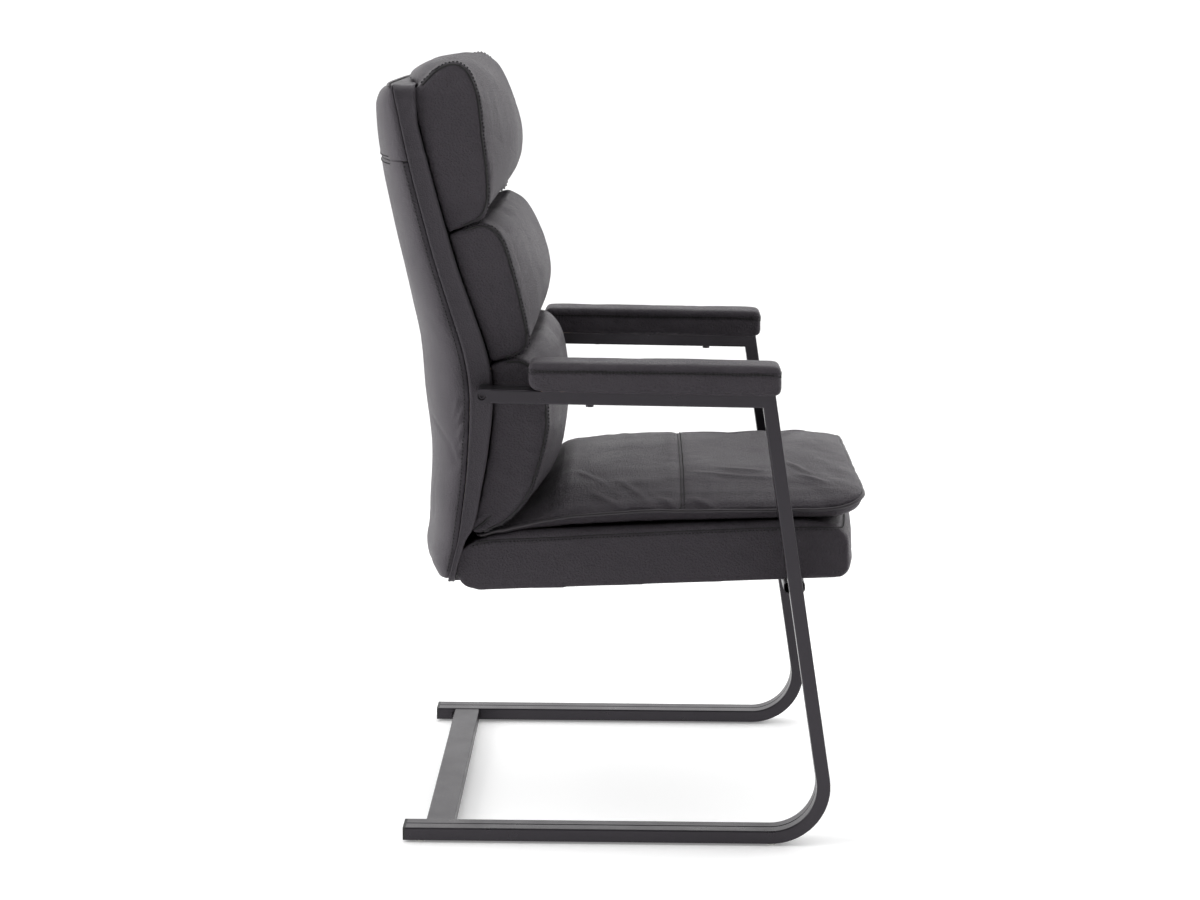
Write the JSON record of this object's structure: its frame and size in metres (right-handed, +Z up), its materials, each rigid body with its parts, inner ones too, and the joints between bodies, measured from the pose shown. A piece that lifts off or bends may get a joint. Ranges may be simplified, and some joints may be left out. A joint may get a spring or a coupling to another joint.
{
  "type": "cantilever visitor armchair",
  "caption": "Cantilever office armchair: bent square-tube side frames, padded armrests, a piped seat cushion on a padded base and a high back of stacked padded rolls.",
  "frame": {"origin": "on the floor, under the middle of the bounding box", "axes": "+Z is up, +X runs across the chair towards the sitter's left armrest, -Y is the way the sitter faces"},
  "size_m": [0.612, 0.6975, 1.091],
  "materials": {
    "frame": "satin black powder coat",
    "hardware": "zinc plated",
    "plastic": "matte black",
    "glide": "translucent white",
    "board": "raw plywood",
    "foam": "open-cell foam",
    "lining": "woven lining",
    "cover": "fine-grained leatherette, soft sheen",
    "cushion": "foam cushion in fine-grained leatherette, soft sheen"
  },
  "bodies": {
    "root": {"right_outer_leg_tube": "frame", "right_inner_leg_tube": "frame", "left_inner_leg_tube": "frame", "left_outer_leg_tube": "frame", "right_outer_rail_tube": "frame", "right_inner_rail_tube": "frame", "left_inner_rail_tube": "frame", "left_outer_rail_tube": "frame", "right_rail_end": "frame", "left_rail_end": "frame", "runner_end_caps": "plastic", "floor_glides": "glide", "rear_cross_bar": "frame", "cross_bar_gussets": "frame", "seat_cross_tube": "frame", "seat_tube_bolts": "hardware", "seat_tube_tee_nuts": "hardware", "seat_board": "board", "seat_base_foam": "foam", "seat_base_cover": "cover", "seat_dust_cover": "lining", "seat_cushion": "cushion", "seat_cushion_piping": "cover", "back_brackets": "frame", "bracket_seat_bolts": "hardware", "bracket_seat_tee_nuts": "hardware", "bracket_back_bolts": "hardware", "bracket_back_tee_nuts": "hardware", "back_board": "board", "back_side_blocks": "board", "back_threaded_inserts": "hardware", "back_front_foam": "foam", "back_front_lining": "lining", "back_side_band": "cover", "back_rear_foam": "foam", "back_rear_cover": "cover", "back_yoke_cover": "cover", "head_roll": "cushion", "middle_roll": "cushion", "lower_roll": "cushion", "rail_bolts": "hardware", "back_spacers": "plastic", "right_arm_pad": "cover", "left_arm_pad": "cover", "right_arm_pad_foam": "foam", "left_arm_pad_foam": "foam", "right_arm_pad_board": "board", "left_arm_pad_board": "board", "arm_pad_screws": "frame"}
  },
  "joints": []
}
